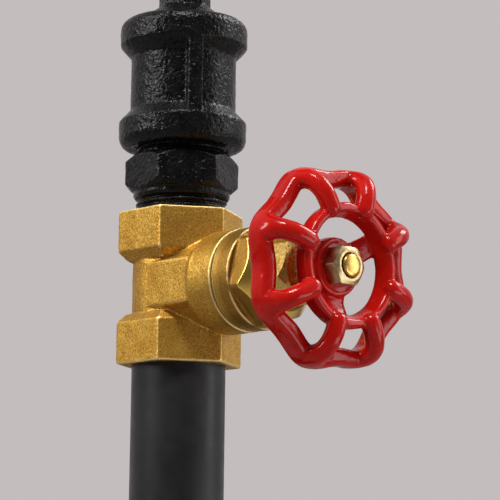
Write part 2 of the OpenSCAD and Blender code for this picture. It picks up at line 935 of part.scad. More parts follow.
// Places of the rows over a rounded section, and of the columns across a bar
section_steps = [-1, -0.75, 0, 0.75, 1];
window_rows = 4;
window_columns = 4;
ring_stations = [for (s = section_steps) s * ring_radial / 2];
rim_stations = [for (s = section_steps) curve_len + s * rim_axial / 2];
window_start = ring_radial / 2;
window_end = curve_len - rim_axial / 2;
stations = concat(
    ring_stations,
    [
        for (k = [1 : window_rows - 1])
            window_start + (window_end - window_start) * k / window_rows
    ],
    rim_stations
);
first_window = len(section_steps) - 1;
last_window = first_window + window_rows;
bar_columns = len(section_steps);
sector_columns = bar_columns + window_columns - 1;
row_count = len(stations);
column_count = lobes * sector_columns;
edge_t = 0.9;

function along_curve(s) = min(max(s / curve_len, 0), 1) * 90;

// Rim radius at a bearing: largest at the bars
function wave(bearing, s) = rim_wave * sin(along_curve(s)) * cos(lobes * (bearing - sector / 2));

// Middle surface as [radius, height], and its outward direction
function middle(bearing, s) =
    let (a = along_curve(s))
    [
        ring_r + curve_out * sin(a) + min(s, 0) + wave(bearing, s),
        ring_forward * cos(a) - max(s - curve_len, 0)
    ];
function outward(s) =
    let (a = along_curve(s))
    unit([ring_forward * sin(a), curve_out * cos(a)]);

// Half width of a bar: it widens into the ring and the rim
function bar_half(s) =
    let (
        from_middle = (s - (window_start + window_end) / 2) / ((window_end - window_start) / 2),
        share = min(abs(from_middle), 1)
    )
    bar_w / 2 * (1 + 0.55 * pow(share, 3));

// Half thickness of a rounded section at a share of its half width
function rounded(share, half_t) = half_t * sqrt(max(1 - share * share, 0));

function half_thickness(column, s) =
    let (
        in_bar = column < bar_columns,
        bar = in_bar ? rounded(section_steps[column], bar_t / 2) : 0,
        ring = rounded(s / (ring_radial / 2), ring_axial / 2),
        rim = rounded((s - curve_len) / (rim_axial / 2), rim_radial / 2)
    )
    max(edge_t / 2, pow(pow(bar, 4) + pow(ring, 4) + pow(rim, 4), 0.25));

// Bearing of a column at a row: across a bar, or shared out over the window beside it
function bearing_of(column, s) =
    let (
        n = floor(column / sector_columns),
        c = column % sector_columns,
        r = middle(sector / 2, s)[0],
        half_angle = asin(bar_half(s) / r),
        open = sector - 2 * half_angle,
        step = c - bar_columns + 1
    )
    sector / 2 + n * sector
        + (c < bar_columns ? section_steps[c] * half_angle
            : half_angle + open * step / window_columns);

function wheel_point(column, row, side) =
    let (
        s = stations[row],
        bearing = bearing_of(column, s),
        at = middle(bearing, s) + side * half_thickness(column % sector_columns, s) * outward(s)
    )
    [at[0] * cos(bearing), at[0] * sin(bearing), at[1]];

function point_index(side, column, row) =
    side * column_count * row_count + (column % column_count) * row_count + row;

// True where the openwork is solid between a column and the next, a row and the next
function solid_cell(column, row) =
    let (c = column % sector_columns)
    row >= 0 && row < row_count - 1
        && (row < first_window || row >= last_window || c < bar_columns - 1);

module openwork() {
    points = [
        for (side = [1, -1])
            for (column = [0 : column_count - 1])
                for (row = [0 : row_count - 1])
                    wheel_point(column, row, side)
    ];
    skins = [
        for (column = [0 : column_count - 1])
            for (row = [0 : row_count - 2])
                if (solid_cell(column, row))
                    for (side = [0, 1])
                        let (
                            a = point_index(side, column, row),
                            b = point_index(side, column, row + 1),
                            c = point_index(side, column + 1, row + 1),
                            d = point_index(side, column + 1, row)
                        )
                        for (face = side == 0 ? [[a, c, b], [a, d, c]] : [[a, b, c], [a, c, d]])
                            face
    ];
    row_walls = [
        for (column = [0 : column_count - 1])
            for (row = [0 : row_count - 1])
                let (
                    below = solid_cell(column, row - 1),
                    above = solid_cell(column, row),
                    a = point_index(0, column, row),
                    b = point_index(0, column + 1, row),
                    c = point_index(1, column + 1, row),
                    d = point_index(1, column, row)
                )
                if (below != above)
                    for (face = above ? [[a, c, b], [a, d, c]] : [[a, b, c], [a, c, d]])
                        face
    ];
    column_walls = [
        for (column = [0 : column_count - 1])
            for (row = [0 : row_count - 2])
                let (
                    before = solid_cell(column + column_count - 1, row),
                    after = solid_cell(column, row),
                    a = point_index(0, column, row),
                    b = point_index(0, column, row + 1),
                    c = point_index(1, column, row + 1),
                    d = point_index(1, column, row)
                )
                if (before != after)
                    for (face = after ? [[a, b, c], [a, c, d]] : [[a, c, b], [a, d, c]])
                        face
    ];
    polyhedron(points = points, faces = concat(skins, row_walls, column_walls), convexity = 12);
}

module handwheel() {
    fit = 0.05;
    hub_edge = 0.8;
    spoke_top = hub_front - wheel_at + 0.3;
    color([0.78, 0.06, 0.07])
        along_stem(wheel_at)
            difference() {
                union() {
                    rotate(bar_turn)
                        openwork();
                    turned([
                        [0, hub_back - wheel_at], [hub_d / 2 - hub_edge, hub_back - wheel_at],
                        [hub_d / 2, hub_back - wheel_at + hub_edge],
                        [hub_d / 2, hub_front - wheel_at - hub_edge],
                        [hub_d / 2 - hub_edge, hub_front - wheel_at], [0, hub_front - wheel_at]
                    ]);
                    for (turn = [0, 120, 240])
                        rotate(spoke_angle + turn)
                            translate([hub_d / 4, -spoke_w / 2, spoke_top - spoke_t])
                                cube([ring_r - hub_d / 4, spoke_w, spoke_t]);
                }
                translate([0, 0, hub_seat - wheel_at])
                    cylinder(d = hub_recess_d, h = hub_recess + cut + 1);
                translate([-stem_square / 2 - fit, -stem_square / 2 - fit, hub_back - wheel_at - cut])
                    cube([stem_square + 2 * fit, stem_square + 2 * fit, hub_len + cut]);
            }
}

module wheel_nut() {
    color([0.72, 0.66, 0.5])
        along_stem(hub_seat)
            hex_nut(wheel_nut_af, wheel_nut_h, stem_end_d + 2 * thread_gap);
}

// Drop pipe and bell

module drop_pipe() {
    top = valve_bottom + thread_depth;
    bottom = bell_top - thread_depth;
    color([0.1, 0.1, 0.105])
        difference() {
            turned([
                [0, bottom], [male_r, bottom], [male_r, bell_top], [pipe_d / 2, bell_top],
                [pipe_d / 2, valve_bottom], [male_r, valve_bottom], [male_r, top], [0, top]
            ]);
            translate([0, 0, bottom - cut])
                cylinder(d = pipe_bore, h = top - bottom + 2 * cut);
        }
}

// The bell without its bores: a rounded band at each end of a turned body
module bell_blank() {
    band_r = bell_band_d / 2;
    neck_r = bell_neck_d / 2;
    body_r = bell_d / 2;
    mouth_r = bell_mouth_d / 2;
    band_bottom = bell_top - bell_band_h;
    neck_bottom = band_bottom - 4;
    mouth_top = bell_bottom + bell_mouth_h;
    slope = 2;
    overlap = 1.5;
    rotate_extrude()
        mirror([0, 1])
            rounded_half(band_r, -bell_top, -band_bottom, bell_edge_r);
    turned([
        [0, band_bottom + overlap], [neck_r, band_bottom + overlap], [neck_r, band_bottom],
        [band_r - 0.05, band_bottom], [neck_r, band_bottom - slope], [neck_r, neck_bottom],
        [body_r, holder_top], [body_r, mouth_top + slope], [mouth_r - 0.05, mouth_top],
        [body_r, mouth_top], [body_r, mouth_top - overlap], [0, mouth_top - overlap]
    ]);
    rotate_extrude()
        rounded_half(mouth_r, bell_bottom, mouth_top, bell_edge_r);
}

module bell_reducer() {
    color([0.05, 0.05, 0.055])
        difference() {
            bell_blank();
            translate([0, 0, bell_top - thread_depth])
                cylinder(r = female_r, h = thread_depth + cut);
            translate([0, 0, holder_top - cut])
                cylinder(d = bell_passage_d, h = bell_roof);
            translate([0, 0, bell_bottom - cut])
                cylinder(d = holder_d + 2 * slide_gap, h = holder_top - bell_bottom + cut);
            for (turn = [30, 150, 270])
                translate([0, 0, set_screw_z])
                    rotate([0, 90, turn])
                        cylinder(d = set_screw_d + 2 * thread_gap, h = bell_mouth_d);
            translate([earth_at, 0, holder_top - cut])
                cylinder(d = earth_head_d / 2 + 2 * thread_gap, h = 6 + cut);
        }
}

module holder_set_screws() {
    sunk = 0.4;
    length = (bell_mouth_d - holder_d) / 2 - sunk;
    slot_h = 0.8;
    slot_depth = 1;
    color("silver")
        for (turn = [30, 150, 270])
            translate([0, 0, set_screw_z])
                rotate([0, 90, turn])
                    translate([0, 0, holder_d / 2])
                        difference() {
                            cylinder(d = set_screw_d, h = length);
                            translate([-slot_h / 2, -set_screw_d, length - slot_depth])
                                cube([slot_h, 2 * set_screw_d, slot_depth + cut]);
                        }
}

module earth_screw() {
    color("gold")
        translate([earth_at, 0, holder_top]) {
            translate([0, 0, -earth_head_h])
                cylinder(d = earth_head_d, h = earth_head_h);
            translate([0, 0, -earth_head_h / 2])
                cylinder(d = earth_head_d / 2, h = 6 + earth_head_h / 2);
        }
}

// Lamp holder

module lamp_holder() {
    color([0.1, 0.09, 0.085])
        difference() {
            union() {
                translate([0, 0, holder_bottom])
                    cylinder(d = holder_d, h = holder_h);
                rotate_extrude()
                    rounded_half(
                        holder_bead_d / 2, holder_bottom, holder_bottom + holder_bead_h, holder_bead_h / 2.2
                    );
            }
            translate([0, 0, chamber_bottom])
                cylinder(d = chamber_d, h = chamber_h + cut);
            translate([0, 0, holder_bottom - cut])
                cylinder(r = cavity_r, h = holder_ceiling - holder_bottom + cut);
            for (at = [[-post_at, 0], [0, post_at]])
                translate([at[0], at[1], holder_ceiling - cut])
                    cylinder(d = post_d + 2 * slide_gap, h = holder_floor + 2 * cut);
        }
}

module screw_shell() {
    tab_w = 5;
    color("gold") {
        translate([0, 0, holder_ceiling - shell_len])
            difference() {
                cylinder(r = shell_r, h = shell_len);
                translate([0, 0, -cut])
                    cylinder(r = shell_r - shell_t, h = shell_len + 2 * cut);
            }
        translate([-tab_w / 2, post_at - post_d / 2, holder_ceiling - shell_t])
            cube([tab_w, shell_r - shell_t / 2 - post_at + post_d / 2 - 0.2, shell_t]);
        translate([0, post_at, holder_ceiling - shell_t / 2])
            cylinder(d = post_d, h = holder_floor + post_h + shell_t / 2);
    }
}

module centre_contact() {
    bend_r = leaf_drop / 2;
    bend_x = 3;
    lower_x = -3.5;
    post_x = -post_at - post_d / 2;
    color("gold") {
        translate([0, leaf_w / 2, holder_ceiling])
            rotate([90, 0, 0])
                linear_extrude(leaf_w)
                    union() {
                        translate([post_x, -leaf_t])
                            square([bend_x - post_x, leaf_t]);
                        translate([lower_x, -leaf_drop])
                            square([bend_x - lower_x, leaf_t]);
                        difference() {
                            translate([bend_x, -bend_r])
                                circle(bend_r);
                            translate([bend_x, -bend_r])
                                circle(bend_r - leaf_t);
                            translate([bend_x - 2 * bend_r, -2 * bend_r])
                                square([2 * bend_r, 2 * bend_r]);
                        }
                    }
        translate([-post_at, 0, holder_ceiling - leaf_t / 2])
            cylinder(d = post_d, h = holder_floor + post_h + leaf_t / 2);
    }
}

// Bulb

module bulb_cap() {
    r = cap_d / 2;
    inner_r = r - cap_wall;
    neck_r = insulator_d / 2;
    color("silver")
        turned([
            [inner_r, cap_bottom], [r, cap_bottom], [r, cap_shoulder], [neck_r, cap_top],
            [neck_r - 1, cap_top], [neck_r - 1, cap_top - cap_wall],
            [inner_r, cap_shoulder - cap_wall]
        ]);
}

module bulb_insulator() {
    color([0.08, 0.07, 0.07])
        translate([0, 0, cap_top])
            cylinder(d1 = insulator_d, d2 = tip_d + 1, h = insulator_h);
}

module bulb_contact() {
    color("silver")
        translate([0, 0, cap_top + insulator_h])
            cylinder(d = tip_d, h = tip_h);
}

// Radius of the glass at a share of its length below the cap
glass_neck_share = 0.07;
glass_widest_share = 0.66;
function glass_r(share) =
    share < glass_neck_share ? glass_neck_r
    : share < glass_widest_share ?
        let (a = 180 * (share - glass_neck_share) / (glass_widest_share - glass_neck_share))
        glass_neck_r + (bulb_d / 2 - glass_neck_r) * (1 - cos(a)) / 2
    : let (a = (share - glass_widest_share) / (1 - glass_widest_share))
        bulb_d / 2 * sqrt(max(1 - a * a, 0));

// Half outline of the glass, drawn in by a thickness
function glass_outline(inset) = [
    for (k = [0 : 28])
        let (share = k < 16 ? k / 16 * glass_widest_share
            : glass_widest_share + (1 - glass_widest_share) * sin(90 * (k - 16) / 12))
        [max(glass_r(share) - inset, 0), cap_bottom - share * (bulb_len - inset)]
];

module bulb_glass() {
    color([0.9, 0.75, 0.5, 0.35])
        difference() {
            turned(concat([[0, mount_top], [glass_neck_r, mount_top]], glass_outline(0)));
            turned(concat(
                [[0, mount_top + cut], [glass_neck_r - glass_t, mount_top + cut]],
                glass_outline(glass_t)
            ));
        }
}

// Bearing of one upright run of the filament
function run_bearing(k) = 360 * k / (filament_runs + 1);

module bulb_mount() {
    flare_r = glass_neck_r - glass_t - slide_gap;
    tube_r = 3.4;
    rod_r = 1.4;
    arm_d = 0.6;
    button_r = 2.2;
    button_z = filament_bottom - 3;
    arm_len = filament_r - filament_d / 2 - slide_gap;
    flare_h = 12;
    tube_gap = 8;
    tube_bottom = filament_top + tube_gap;
    color([0.85, 0.85, 0.88, 0.5]) {
        turned([
            [0, mount_top], [flare_r, mount_top], [flare_r, mount_top - 1],
            [tube_r, mount_top - flare_h], [tube_r, tube_bottom], [0, tube_bottom]
        ]);
        translate([0, 0, button_z])
            cylinder(r = rod_r, h = tube_bottom - button_z + cut);
        translate([0, 0, button_z])
            sphere(button_r);
        for (k = [0 : filament_runs - 1])
            translate([0, 0, k % 2 == 0 ? filament_top - 1 : filament_bottom + 1])
                rotate([0, 90, run_bearing(k)])
                    cylinder(d = arm_d, h = arm_len);
    }
}

module bulb_filament() {
    path = [
        for (k = [0 : filament_runs - 1])
            for (z = k % 2 == 0 ? [filament_top, filament_bottom] : [filament_bottom, filament_top])
                [filament_r * cos(run_bearing(k)), filament_r * sin(run_bearing(k)), z]
    ];
    color("orange")
        tube(path, filament_d, [for (p = path) [p[0], p[1], 0]], 6);
}

// Wiring

wire_ring_r = wire_d / sqrt(3) + 0.15;

// Route of a wire: out of its terminal, over to the run, down the run, and out to its post
function wire_route(way, bearing, finish) =
    let (
        x = wire_ring_r * cos(bearing),
        y = wire_ring_r * sin(bearing),
        terminal_x = way * block_pitch,
        rise = block_entry_z - bush_top,
        turn_z = holder_top + bell_roof / 2
    )
    concat(
        [
            [terminal_x, block_front_y + block_w / 3, block_entry_z],
            [terminal_x, block_front_y - 1, block_entry_z],
            [0.85 * terminal_x, 0.55 * block_front_y, block_entry_z - 0.22 * rise],
            [0.45 * terminal_x, 0.2 * block_front_y + y, block_entry_z - 0.55 * rise],
            [x, y, bush_top + 0.5],
            [x, y, plug_top],
            [x, y, valve_z],
            [x, y, turn_z]
        ],
        finish
    );

module wire(way, bearing, finish) {
    route = wire_route(way, bearing, finish);
    tube(route, wire_d, [for (p = route) [cos(bearing + 90), sin(bearing + 90), 0]]);
}

post_top = chamber_bottom + post_h;

module live_wire() {
    color("saddlebrown")
        wire(-1, 210, [
            [-0.75 * post_at, 0, holder_top + 3],
            [-post_at, 0, holder_top - 1],
            [-post_at, 0, post_top]
        ]);
}

module neutral_wire() {
    color("royalblue")
        wire(0, 90, [
            [0, 0.75 * post_at, holder_top + 3],
            [0, post_at, holder_top - 1],
            [0, post_at, post_top]
        ]);
}

module earth_wire() {
    earth_x = earth_at - earth_head_d / 2 - slide_gap - wire_d / 4;
    earth_z = holder_top - wire_d / 2 - slide_gap;
    color("limegreen")
        wire(1, 330, [
            [0.5 * earth_x, 0, holder_top + 3],
            [0.8 * earth_x, 0, holder_top],
            [earth_x, 0, earth_z]
        ]);
}

ceiling_bracket();
canopy();
canopy_screws();
terminal_block();
terminal_block_screws();
rod_lock_nut();
rod_washer();
rod_bush();
rod_collar();
hang_rod();
reducing_plug();
coupling();
hex_nipple();
valve_body();
bonnet_gasket();
valve_bonnet();
packing_ring();
packing_nut();
valve_stem();
handwheel();
wheel_nut();
drop_pipe();
bell_reducer();
holder_set_screws();
earth_screw();
lamp_holder();
screw_shell();
centre_contact();
bulb_cap();
bulb_insulator();
bulb_contact();
bulb_glass();
bulb_mount();
bulb_filament();
live_wire();
neutral_wire();
earth_wire();
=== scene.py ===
import json
import math

import bmesh
import bpy
import numpy as np
from mathutils import Matrix, Vector, noise

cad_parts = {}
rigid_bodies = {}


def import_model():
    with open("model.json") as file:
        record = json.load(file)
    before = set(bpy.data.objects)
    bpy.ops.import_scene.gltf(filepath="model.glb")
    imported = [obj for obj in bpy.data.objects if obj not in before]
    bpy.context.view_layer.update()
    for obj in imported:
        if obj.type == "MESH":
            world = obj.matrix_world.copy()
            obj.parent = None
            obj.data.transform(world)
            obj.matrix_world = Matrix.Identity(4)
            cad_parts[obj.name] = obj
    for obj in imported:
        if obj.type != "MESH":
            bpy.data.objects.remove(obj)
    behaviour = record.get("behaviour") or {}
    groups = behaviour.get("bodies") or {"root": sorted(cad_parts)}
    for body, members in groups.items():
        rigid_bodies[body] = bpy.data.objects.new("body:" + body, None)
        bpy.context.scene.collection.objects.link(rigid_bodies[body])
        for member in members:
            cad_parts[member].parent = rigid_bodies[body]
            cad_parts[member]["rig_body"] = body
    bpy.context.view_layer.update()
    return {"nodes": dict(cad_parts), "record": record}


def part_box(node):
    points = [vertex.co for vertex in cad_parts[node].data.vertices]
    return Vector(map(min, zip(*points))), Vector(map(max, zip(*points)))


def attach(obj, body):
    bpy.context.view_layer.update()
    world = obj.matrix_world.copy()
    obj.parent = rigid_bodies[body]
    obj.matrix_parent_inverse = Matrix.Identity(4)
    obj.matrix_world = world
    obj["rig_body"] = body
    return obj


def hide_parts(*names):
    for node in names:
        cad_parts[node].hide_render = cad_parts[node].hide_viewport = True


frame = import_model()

nodes = frame["nodes"]
scene = bpy.context.scene
MM = 0.001

# Sizes that the pieces share with the solids, in millimetres
VALVE_Z = -247.6
VALVE_HALF = 22
VALVE_TOP = VALVE_Z + VALVE_HALF
BARE_LOW, CONE_LOW, HEX_SIDE, CONE_HIGH, BARE_HIGH = 4.1, 4.2, 6.3, 3, 1.2
NIPPLE_CONE_BOTTOM = VALVE_TOP + BARE_LOW
COUPLING_BOTTOM = NIPPLE_CONE_BOTTOM + CONE_LOW + HEX_SIDE + CONE_HIGH + BARE_HIGH
NIPPLE_CONE_TOP = COUPLING_BOTTOM - BARE_HIGH
COUPLING_LEN = 38.2
COUPLING_TOP = COUPLING_BOTTOM + COUPLING_LEN
PIPE_PITCH = 1.814
MALE_R = 13.15
NIPPLE_IN = 10.0
WHEEL_AT = 61.4


# Mesh helpers

def mesh_of(name, points, faces):
    mesh = bpy.data.meshes.new(name)
    mesh.from_pydata([tuple(p) for p in points], [], [tuple(f) for f in faces])
    mesh.validate()
    return mesh


def add(name, mesh, body, material, replaces=None):
    obj = bpy.data.objects.new(name, mesh)
    scene.collection.objects.link(obj)
    mesh.polygons.foreach_set("use_smooth", np.ones(len(mesh.polygons), bool))
    mesh.materials.clear()
    mesh.materials.append(material)
    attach(obj, body)
    if replaces:
        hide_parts(replaces)


def copy_of(node):
    """A welded copy of a CAD node's mesh."""
    bm = bmesh.new()
    bm.from_mesh(nodes[node].data)
    weld = 2e-7
    bmesh.ops.remove_doubles(bm, verts=bm.verts, dist=weld)
    mesh = bpy.data.meshes.new(node + "_copy")
    bm.to_mesh(mesh)
    bm.free()
    return mesh


def roundness(mesh, co, normal, voxel):
    """How far each vertex stands out from those around it, in voxels: high on outer edges."""
    ends = np.empty(len(mesh.edges) * 2, np.int32)
    mesh.edges.foreach_get("vertices", ends)
    a, b = ends.reshape(-1, 2).T
    count = len(co)
    degree = np.maximum(np.bincount(a, minlength=count) + np.bincount(b, minlength=count), 1)

    def around(value):
        return (np.bincount(a, value[b], count) + np.bincount(b, value[a], count)) / degree

    mean = np.column_stack([around(co[:, k]) for k in range(3)])
    out = np.einsum("ij,ij->i", co - mean, normal) / voxel
    spread = 5
    for _ in range(spread):
        out = (out + around(out)) / 2
    return out


def fused(name, sources, voxel, soften, lumps=(), shape=None):
    """One casting out of closed meshes in metres: joined, softened, slightly uneven.

    lumps holds (height, size) of the unevenness; voxel and lumps are in millimetres.
    """
    bm = bmesh.new()
    for source in sources:
        bm.from_mesh(source)
    raw = bpy.data.meshes.new(name + "_raw")
    bm.to_mesh(raw)
    bm.free()
    obj = bpy.data.objects.new(name + "_work", raw)
    scene.collection.objects.link(obj)
    remesh = obj.modifiers.new("join", "REMESH")
    remesh.mode = "VOXEL"
    remesh.voxel_size = voxel * MM
    smooth = obj.modifiers.new("soften", "SMOOTH")
    smooth.factor = 0.5
    smooth.iterations = soften
    graph = bpy.context.evaluated_depsgraph_get()
    mesh = bpy.data.meshes.new_from_object(obj.evaluated_get(graph), depsgraph=graph)
    bpy.data.objects.remove(obj)
    mesh.name = name
    count = len(mesh.vertices)
    co = np.empty(count * 3, np.float32)
    normal = np.empty(count * 3, np.float32)
    mesh.vertices.foreach_get("co", co)
    mesh.vertex_normals.foreach_get("vector", normal)
    co = co.reshape(-1, 3).astype(float) / MM
    normal = normal.reshape(-1, 3).astype(float)
    wear = mesh.attributes.new("wear", "FLOAT", "POINT")
    wear.data.foreach_set("value", roundness(mesh, co, normal, voxel).astype(np.float32))
    for height, size in lumps:
        lift = np.array([noise.noise(Vector(p)) for p in co / size])
        co = co + normal * (lift * height)[:, None]
    if shape is not None:
        co = shape(co)
    mesh.vertices.foreach_set("co", (co * MM).astype(np.float32).ravel())
    mesh.update()
    return mesh


def wrapped(columns, rows):
    """Faces between neighbouring columns of points, closed in both directions."""
    faces = []
    for k in range(columns):
        here, there = k * rows, (k + 1) % columns * rows
        for i in range(rows):
            j = (i + 1) % rows
            faces.append((here + i, there + i, there + j, here + j))
    return faces


def lathe(outline, sides):
    """Points and faces turned from a closed [radius, height] outline off the axis."""
    points = []
    for k in range(sides):
        a = 2 * math.pi * k / sides
        points += [(r * math.cos(a), r * math.sin(a), z) for r, z in outline]
    return points, wrapped(sides, len(outline))


def upright(points):
    """Points in millimetres as row points in metres."""
    return [(x * MM, y * MM, z * MM) for x, y, z in points]


def on_stem(points, distance):
    """Points with +Z along the stem and +Y up, as row points in metres."""
    return [(x * MM, -(z + distance) * MM, (y + VALVE_Z) * MM) for x, y, z in points]


def thread_height(turns):
    """Share of the thread's depth, from 0 in the groove to 1 on the crest."""
    phase = turns - np.floor(turns)
    ridge = 1 - np.abs(2 * phase - 1)
    steep, flat = 1.5, 0.25
    return np.clip(ridge * steep - flat, 0, 1)


# Handwheel: round bars that bend from a lobed rim over the front of a deep ring

def loft(name, sections, loop=False):
    """Closed mesh through rings of points on the stem."""
    n, count = len(sections[0]), len(sections)
    faces = []
    for i in range(count if loop else count - 1):
        j = (i + 1) % count
        for k in range(n):
            m = (k + 1) % n
            faces.append((i * n + k, i * n + m, j * n + m, j * n + k))
    if not loop:
        faces += [tuple(range(n - 1, -1, -1)), tuple(range((count - 1) * n, count * n))]
    return mesh_of(name, on_stem([p for ring in sections for p in ring], WHEEL_AT), faces)


def rounded(wide, high, power, count=24):
    """Points round a superellipse."""
    turns = [2 * math.pi * k / count for k in range(count)]
    return [(wide * math.copysign(abs(math.cos(t)) ** (2 / power), math.cos(t)),
             high * math.copysign(abs(math.sin(t)) ** (2 / power), math.sin(t))) for t in turns]


def wheel_sources():
    """Closed meshes of rim, ring, bars, hub and spokes; heights are along the stem."""
    lobes, bar_turn = 8, math.radians(5)
    rim_r, rim_wave, rim_radial, rim_axial, rim_z, rim_power = 24.7, 1.0, 2.6, 3.3, -1.0, 3.2
    ring_in, ring_out, ring_back, ring_front, ring_draft = 14.2, 16.9, 3.2, 8.2, 1.2
    bar_r, bar_z, nose_r, bend = 2.7, 7.4, 16.3, 2.6
    foot_top, foot_len, foot_gain, foot_power, foot_most = 5.5, 3.2, 0.35, 1.5, 1.8
    hub_front, hub_back, hub_seat = 2.9, -3.7, 2.5
    spoke_turns, spoke_power = (31, 151, 271), 3.6
    rim_steps, bar_steps, nose_steps = 200, 16, 6
    sector = 2 * math.pi / lobes

    rim = []
    for k in range(rim_steps):
        b = 2 * math.pi * k / rim_steps
        r = rim_r + rim_wave * math.cos(lobes * (b - bar_turn - sector / 2))
        rim.append([((r + x) * math.cos(b), (r + x) * math.sin(b), rim_z + z)
                    for x, z in rounded(rim_radial, rim_axial, rim_power)])
    sources = [loft("rim", rim, True)]

    outline = [(ring_in - ring_draft, ring_back + 0.5), (ring_in, ring_front - 0.8),
               (ring_in + 0.3, ring_front - 0.2), (ring_in + 0.8, ring_front),
               (ring_out - 0.9, ring_front), (ring_out - 0.3, ring_front - 0.3),
               (ring_out, ring_front - 0.9), (ring_out, ring_back + 0.6),
               (ring_out - 0.5, ring_back), (ring_in - ring_draft + 0.5, ring_back)]
    points, faces = lathe(outline, 120)
    sources.append(mesh_of("ring", on_stem(points, WHEEL_AT), faces))

    # Each bar's line from its nose over the ring down to the rim: radius, height, share of bar_r
    turns = [math.pi / 2 * k / bar_steps for k in range(bar_steps + 1)]
    rise = bar_z - rim_z
    path = [(nose_r + (rim_r + rim_wave - nose_r) * math.sin(t) ** (2 / bend),
             rim_z + rise * math.cos(t) ** (2 / bend), 1.0) for t in turns]
    nose = [math.pi / 2 * k / nose_steps for k in range(1, nose_steps + 1)]
    tip = 0.05
    path = [(nose_r - bar_r * math.sin(t), bar_z, max(math.cos(t), tip))
            for t in nose[::-1]] + path
    for n in range(lobes):
        b = bar_turn + sector / 2 + n * sector
        sections = []
        for k, (r, z, share) in enumerate(path):
            before, after = path[max(k - 1, 0)], path[min(k + 1, len(path) - 1)]
            along = Vector((after[0] - before[0], after[1] - before[1])).normalized()
            foot = 1 + foot_gain * max((foot_top - z) / foot_len, 0) ** foot_power
            foot = min(foot, foot_most)
            ring = []
            for x, y in rounded(bar_r * share * foot, bar_r * share, 2):
                pr, pz = r - y * along.y, z + y * along.x
                ring.append((pr * math.cos(b) - x * math.sin(b),
                             pr * math.sin(b) + x * math.cos(b), pz))
            sections.append(ring)
        sources.append(loft("bar", sections))

    outline = [(3.4, hub_back), (7.4, hub_back), (8.1, hub_back + 0.8), (8.3, hub_front - 2.4),
               (8.0, hub_front - 0.5), (7.6, hub_front), (7.0, hub_front), (6.6, hub_seat),
               (3.4, hub_seat)]
    points, faces = lathe(outline, 96)
    sources.append(mesh_of("hub", on_stem(points, WHEEL_AT), faces))

    # Stations along a spoke: radius, width, back and front
    stations = ((7.0, 8.0, -1.2, 2.0), (9.5, 6.6, -0.6, 2.2),
                (12.5, 6.4, 0.6, 3.4), (15.4, 7.4, 2.4, 5.2))
    for turn in spoke_turns:
        a = math.radians(turn)
        sections = []
        for r, w, low, high in stations:
            sections.append([(r * math.cos(a) - y * math.sin(a), r * math.sin(a) + y * math.cos(a),
                              (low + high) / 2 + z)
                             for y, z in rounded(w / 2, (high - low) / 2, spoke_power, 16)])
        sources.append(loft("spoke", sections))
    return sources


# Material helpers

class Paint:
    """A material with object coordinates in metres and a few shorthand nodes."""

    def __init__(self, name, color, metallic=0.0, roughness=0.5):
        self.m = bpy.data.materials.new(name)
        self.m.use_nodes = True
        self.t = self.m.node_tree
        self.b = self.t.nodes["Principled BSDF"]
        self.b.inputs["Base Color"].default_value = (*color, 1)
        self.b.inputs["Metallic"].default_value = metallic
        self.b.inputs["Roughness"].default_value = roughness
        self.where = self.t.nodes.new("ShaderNodeTexCoord").outputs["Object"]
        self.last_bump = None

    def link(self, value, socket):
        if isinstance(value, (int, float)):
            socket.default_value = value
        elif isinstance(value, tuple):
            socket.default_value = (*value, 1) if len(value) == 3 else value
        else:
            self.t.links.new(value, socket)

    def math(self, op, a, b=0.0):
        n = self.t.nodes.new("ShaderNodeMath")
        n.operation = op
        self.link(a, n.inputs[0])
        self.link(b, n.inputs[1])
        return n.outputs[0]

    def axis(self, k):
        n = self.t.nodes.new("ShaderNodeSeparateXYZ")
        self.t.links.new(self.where, n.inputs[0])
        return n.outputs[k]

    def noise(self, size_mm, detail=3.0, rough=0.55, stretch=None):
        n = self.t.nodes.new("ShaderNodeTexNoise")
        n.inputs["Scale"].default_value = 1 / MM / size_mm
        n.inputs["Detail"].default_value = detail
        n.inputs["Roughness"].default_value = rough
        where = self.where
        if stretch:
            s = self.t.nodes.new("ShaderNodeMapping")
            s.inputs["Scale"].default_value = stretch
            self.t.links.new(where, s.inputs["Vector"])
            where = s.outputs[0]
        self.t.links.new(where, n.inputs["Vector"])
        return n.outputs["Fac"]

    def span(self, value, a, b, to=(0.0, 1.0)):
        n = self.t.nodes.new("ShaderNodeMapRange")
        n.interpolation_type = "SMOOTHSTEP"
        n.inputs["From Min"].default_value = a
        n.inputs["From Max"].default_value = b
        n.inputs["To Min"].default_value = to[0]
        n.inputs["To Max"].default_value = to[1]
        self.link(value, n.inputs["Value"])
        return n.outputs["Result"]

    def mix(self, share, a, b):
        n = self.t.nodes.new("ShaderNodeMix")
        n.data_type = "RGBA"
        factor, color_a, color_b = n.inputs[0], n.inputs[6], n.inputs[7]
        self.link(share, factor)
        self.link(a, color_a)
        self.link(b, color_b)
        return n.outputs[2]

    def edges(self, a, b):
        """Worn outer edges of a casting."""
        n = self.t.nodes.new("ShaderNodeAttribute")
        n.attribute_name = "wear"
        return self.span(n.outputs["Fac"], a, b)

    def color(self, value):
        self.link(value, self.b.inputs["Base Color"])

    def rough(self, value):
        self.link(value, self.b.inputs["Roughness"])

    def bump(self, height, mm, strength=1.0):
        n = self.t.nodes.new("ShaderNodeBump")
        n.inputs["Distance"].default_value = mm * MM
        self.link(strength, n.inputs["Strength"])
        self.link(height, n.inputs["Height"])
        if self.last_bump is not None:
            self.t.links.new(self.last_bump, n.inputs["Normal"])
        self.last_bump = n.outputs["Normal"]
        self.t.links.new(self.last_bump, self.b.inputs["Normal"])


